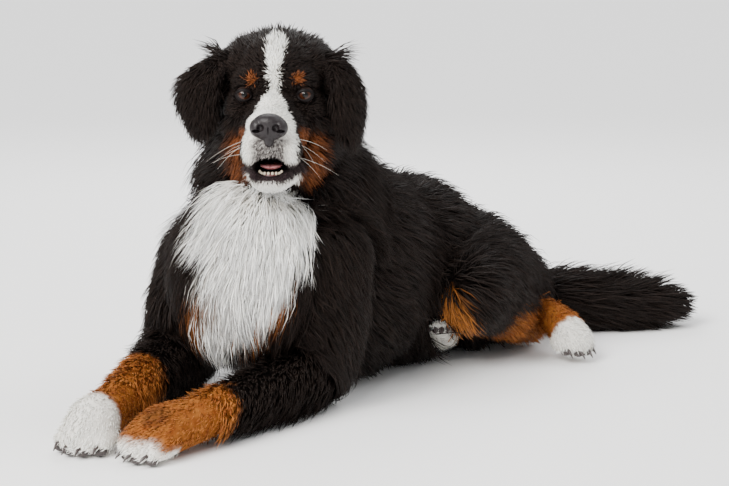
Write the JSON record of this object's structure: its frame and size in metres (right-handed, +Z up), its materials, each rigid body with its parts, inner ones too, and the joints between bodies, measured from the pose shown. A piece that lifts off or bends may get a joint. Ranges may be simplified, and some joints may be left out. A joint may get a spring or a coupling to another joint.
{
  "type": "bernese mountain dog",
  "caption": "Life-size model of a long-coated mountain dog lying down with its head raised, forelegs out in front and hind legs to one side.",
  "frame": {"origin": "on the floor under the middle of the dog's bounding box", "axes": "+Z up, the body lies along Y with the forepaws towards -Y and the tail towards +Y, +X is the dog's left"},
  "size_m": [0.5194, 1.3196, 0.5759],
  "materials": {
    "blackCoat": "long soft black hair with a warm sheen",
    "rustCoat": "rust-brown hair",
    "whiteCoat": "soft white hair",
    "noseLeather": "moist dark grey nose leather",
    "eyeBrown": "wet dark brown eye",
    "tooth": "satin ivory",
    "tongue": "moist pink"
  },
  "bodies": {
    "root": {"head": "blackCoat", "lowerJaw": "whiteCoat", "nose": "noseLeather", "tongue": "tongue", "lowerTeeth": "tooth", "leftEye": "eyeBrown", "rightEye": "eyeBrown", "leftEar": "blackCoat", "rightEar": "blackCoat", "neck": "blackCoat", "chest": "whiteCoat", "ribs": "blackCoat", "loin": "blackCoat", "rump": "blackCoat", "tail": "blackCoat", "leftUpperArm": "blackCoat", "leftForearm": "rustCoat", "leftForepaw": "whiteCoat", "rightUpperArm": "blackCoat", "rightForearm": "rustCoat", "rightForepaw": "whiteCoat", "leftThigh": "blackCoat", "leftShin": "rustCoat", "leftHindFoot": "whiteCoat", "rightThigh": "blackCoat", "rightShin": "rustCoat", "rightHindFoot": "whiteCoat"}
  },
  "joints": []
}
